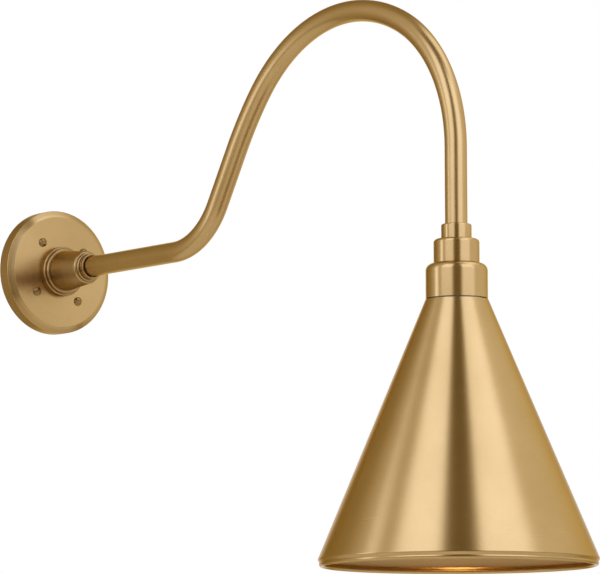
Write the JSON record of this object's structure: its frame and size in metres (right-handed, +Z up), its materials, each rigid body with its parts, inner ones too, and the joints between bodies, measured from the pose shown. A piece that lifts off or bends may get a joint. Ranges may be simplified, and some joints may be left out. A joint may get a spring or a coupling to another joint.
{
  "type": "gooseneck wall sconce",
  "caption": "Brass gooseneck wall light: round wall plate, bent tube arm, stacked collars and a cone shade over a screw-base lamp.",
  "frame": {"origin": "centre of the wall plate's wall face, which lies on the wall plane Y = 0, midway between the two junction-box slots", "axes": "+Z up, +Y into the wall, so the arm reaches out along -Y in the plane X = 0 and the shade hangs down along -Z"},
  "size_m": [0.2564, 0.7774, 0.5452],
  "materials": {
    "aged_brass": "brushed and lacquered, aged to a warm tan",
    "plain_brass": "as turned",
    "zinc_steel": "zinc plated",
    "green_steel": "dyed green zinc",
    "tinned_copper": "tinned",
    "green_insulation": "woven sleeve, smooth",
    "black_insulation": "smooth",
    "white_insulation": "smooth",
    "orange_plastic": "ribbed grip",
    "glazed_porcelain": "glazed",
    "black_phenolic": "moulded",
    "nickel_plate": "nickel plated",
    "black_glass": "fired glass",
    "frosted_glass": "inside frosted",
    "clear_glass": "clear",
    "filament": "drawn wire"
  },
  "bodies": {
    "fixture": {"wall_plate": "aged_brass", "canopy_screws": "aged_brass", "hub": "aged_brass", "arm_tube": "aged_brass", "collar_upper": "aged_brass", "collar_middle": "aged_brass", "socket_cup": "aged_brass", "arm_plug_wall_end": "plain_brass", "arm_plug_shade_end": "plain_brass", "lampholder_shell": "plain_brass", "lampholder_contact": "plain_brass", "terminal_clips": "plain_brass", "terminal_rivets": "plain_brass", "mounting_bracket": "zinc_steel", "bracket_pillars": "zinc_steel", "hub_nipple": "zinc_steel", "hub_washer": "zinc_steel", "hub_locknut": "zinc_steel", "socket_nipple": "zinc_steel", "socket_washer": "zinc_steel", "socket_locknut": "zinc_steel", "lampholder_strap": "zinc_steel", "lampholder_screws": "zinc_steel", "terminal_screws": "zinc_steel", "ground_screw": "green_steel", "ground_lugs": "tinned_copper", "ground_lead": "green_insulation", "lead_hot": "black_insulation", "lead_neutral": "white_insulation", "wire_connectors": "orange_plastic", "lampholder_body": "glazed_porcelain"},
    "shade": {"shade": "aged_brass"},
    "shade_ring": {"shade_ring": "black_phenolic"},
    "lamp_tip": {"lamp_contact": "nickel_plate"},
    "lamp": {"lamp_cap": "nickel_plate", "lamp_insulator": "black_glass", "lamp_glass": "frosted_glass", "lamp_stem": "clear_glass", "lamp_filament": "filament"}
  },
  "joints": [
    {"name": "shade_drop", "type": "slide", "parent": "fixture", "child": "shade", "axis": [0, 0, -1], "range_m": [0, 0.0175]},
    {"name": "shade_ring_turn", "type": "hinge", "parent": "shade", "child": "shade_ring", "pos_m": [0, -0.64914, -0.094], "axis": [0, 0, -1], "range_deg": [0, 2521]},
    {"name": "lamp_drop", "type": "slide", "parent": "fixture", "child": "lamp_tip", "axis": [0, 0, -1], "range_m": [0, 0.01815]},
    {"name": "lamp_turn", "type": "hinge", "parent": "lamp_tip", "child": "lamp", "pos_m": [0, -0.64914, -0.095], "axis": [0, 0, -1], "range_deg": [0, 1801]}
  ],
  "couplings": [
    {"joint": "shade_ring_turn", "follows": "shade_drop", "rad_per_m": 2513.3},
    {"joint": "lamp_turn", "follows": "lamp_drop", "rad_per_m": 1731.4}
  ]
}
